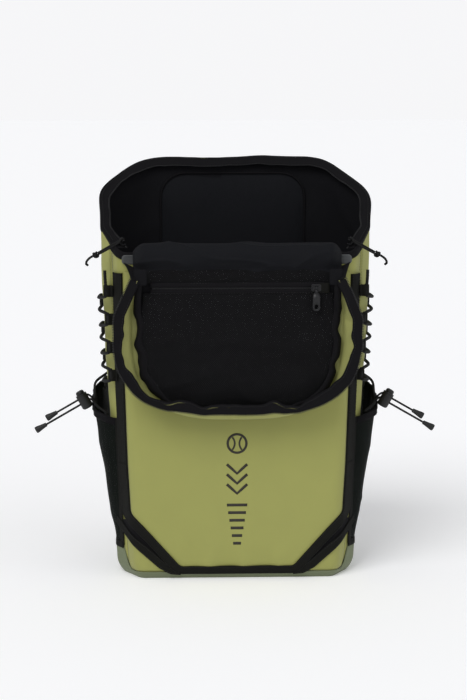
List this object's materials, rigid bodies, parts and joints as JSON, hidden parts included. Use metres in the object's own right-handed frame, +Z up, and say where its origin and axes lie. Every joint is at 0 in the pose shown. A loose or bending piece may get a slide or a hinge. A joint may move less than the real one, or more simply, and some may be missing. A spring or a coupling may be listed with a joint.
{
  "type": "racket backpack",
  "caption": "Sports backpack with a hanging zip-off lid, a padded racket compartment, mesh side pockets with cord locks, side lacing and shoulder straps.",
  "frame": {"origin": "middle of the flat base, on the ground", "axes": "+Z up, -Y towards the front panel and the hanging lid, +Y towards the wearer's back"},
  "size_m": [0.5234, 0.2503, 0.5352],
  "materials": {
    "black_fabric": "plain black lining",
    "black_mesh": "open knitted mesh",
    "cord": "braided elastic cord",
    "foam": "padded spacer mesh over foam",
    "grey_tab": "matt grey moulded tab",
    "moulded": "moulded black plastic",
    "olive": "coated woven nylon, olive green",
    "sage": "coated woven nylon, darker green",
    "slider_metal": "black painted zinc",
    "spring_steel": "spring wire",
    "stiffener": "plain sheet, hidden",
    "webbing": "ribbed woven webbing",
    "zip_tape": "woven zip tape with a nylon coil"
  },
  "bodies": {
    "pack": {"back_pad_left": "foam", "back_pad_right": "foam", "back_panel": "olive", "base_panel": "sage", "cord_ends_left": "moulded", "cord_ends_right": "moulded", "corner_strap_left": "webbing", "corner_strap_right": "webbing", "frame_sheet": "stiffener", "front_binding": "webbing", "front_panel": "olive", "front_wall": "olive", "lacing_loops_left": "webbing", "lacing_loops_right": "webbing", "lid_fold": "black_fabric", "lumbar_pad": "foam", "main_lining": "black_fabric", "mouth_zip": "zip_tape", "pocket_cord_left": "cord", "pocket_cord_right": "cord", "racket_divider": "foam", "side_lace_left": "cord", "side_lace_right": "cord", "side_panel_left": "olive", "side_panel_right": "olive", "side_pocket_left": "black_mesh", "side_pocket_right": "black_mesh", "strap_anchor_left": "webbing", "strap_anchor_right": "webbing", "yoke": "webbing", "zip_garage_left": "grey_tab", "zip_garage_right": "grey_tab"},
    "lid": {"lid_shell": "olive", "lid_zip": "zip_tape", "lid_lining": "black_fabric", "lid_mesh_pocket": "black_mesh", "lid_pocket_zip": "zip_tape"},
    "pocket_slider": {"pocket_slider": "slider_metal"},
    "pocket_pull": {"pocket_pull": "slider_metal"},
    "carry_loop": {"carry_loop": "webbing"},
    "mouth_slider_right": {"mouth_slider_right": "slider_metal"},
    "cord_pull_right": {"cord_pull_right": "cord"},
    "cord_lock_right": {"cord_lock_right": "moulded", "lock_spring_right": "spring_steel"},
    "lock_button_right": {"lock_button_right": "moulded"},
    "shoulder_strap_right": {"shoulder_strap_right": "foam", "ladder_lock_right": "moulded", "strap_webbing_right": "webbing"},
    "sternum_strap_right": {"sternum_strap_right": "webbing", "buckle_male": "moulded"},
    "mouth_slider_left": {"mouth_slider_left": "slider_metal"},
    "cord_pull_left": {"cord_pull_left": "cord"},
    "cord_lock_left": {"cord_lock_left": "moulded", "lock_spring_left": "spring_steel"},
    "lock_button_left": {"lock_button_left": "moulded"},
    "shoulder_strap_left": {"shoulder_strap_left": "foam", "ladder_lock_left": "moulded", "strap_webbing_left": "webbing"},
    "sternum_strap_left": {"sternum_strap_left": "webbing", "buckle_female": "moulded"}
  },
  "joints": [
    {"name": "lid_hinge", "type": "hinge", "parent": "pack", "child": "lid", "pos_m": [0, -0.11003, 0.4227], "axis": [-1, 0, 0], "range_deg": [0, 235]},
    {"name": "pocket_zip_slide", "type": "slide", "parent": "lid", "child": "pocket_slider", "axis": [1, 0, 0], "range_m": [-0.196, 0.002]},
    {"name": "pocket_pull_swing", "type": "hinge", "parent": "pocket_slider", "child": "pocket_pull", "pos_m": [0.098, -0.11763, 0.3797], "axis": [-1, 0, 0], "range_deg": [0, 130]},
    {"name": "carry_loop_swing", "type": "hinge", "parent": "pack", "child": "carry_loop", "pos_m": [0, 0.0889, 0.497], "axis": [-1, 0, 0], "range_deg": [0, 85]},
    {"name": "mouth_zip_slide_right", "type": "slide", "parent": "pack", "child": "mouth_slider_right", "axis": [0.4575, 0.7284, 0.51], "range_m": [0, 0.026]},
    {"name": "cord_pull_swing_right", "type": "hinge", "parent": "mouth_slider_right", "child": "cord_pull_right", "pos_m": [0.1438, -0.06921, 0.43699], "axis": [-0.4575, -0.7284, -0.51], "range_deg": [0, 90]},
    {"name": "cord_lock_slide_right", "type": "slide", "parent": "pack", "child": "cord_lock_right", "axis": [0.866, 0, -0.5], "range_m": [0, 0.028]},
    {"name": "lock_button_press_right", "type": "slide", "parent": "cord_lock_right", "child": "lock_button_right", "axis": [-0.5, 0, -0.866], "range_m": [0, 0.003], "stiffness_N_per_m": 300, "springref_m": -0.003, "deforming": ["lock_spring_right"]},
    {"name": "shoulder_strap_swing_right", "type": "hinge", "parent": "pack", "child": "shoulder_strap_right", "pos_m": [0.066, 0.09, 0.505], "axis": [1, 0, 0], "range_deg": [0, 15]},
    {"name": "sternum_slide_right", "type": "slide", "parent": "shoulder_strap_right", "child": "sternum_strap_right", "axis": [0, 0, 1], "range_m": [-0.02, 0.02]},
    {"name": "mouth_zip_slide_left", "type": "slide", "parent": "pack", "child": "mouth_slider_left", "axis": [-0.4575, 0.7284, 0.51], "range_m": [0, 0.026]},
    {"name": "cord_pull_swing_left", "type": "hinge", "parent": "mouth_slider_left", "child": "cord_pull_left", "pos_m": [-0.1438, -0.06921, 0.43699], "axis": [-0.4575, 0.7284, 0.51], "range_deg": [0, 90]},
    {"name": "cord_lock_slide_left", "type": "slide", "parent": "pack", "child": "cord_lock_left", "axis": [-0.866, 0, -0.5], "range_m": [0, 0.028]},
    {"name": "lock_button_press_left", "type": "slide", "parent": "cord_lock_left", "child": "lock_button_left", "axis": [0.5, 0, -0.866], "range_m": [0, 0.003], "stiffness_N_per_m": 300, "springref_m": -0.003, "deforming": ["lock_spring_left"]},
    {"name": "shoulder_strap_swing_left", "type": "hinge", "parent": "pack", "child": "shoulder_strap_left", "pos_m": [-0.066, 0.09, 0.505], "axis": [1, 0, 0], "range_deg": [0, 15]},
    {"name": "sternum_slide_left", "type": "slide", "parent": "shoulder_strap_left", "child": "sternum_strap_left", "axis": [0, 0, 1], "range_m": [-0.02, 0.02]}
  ]
}
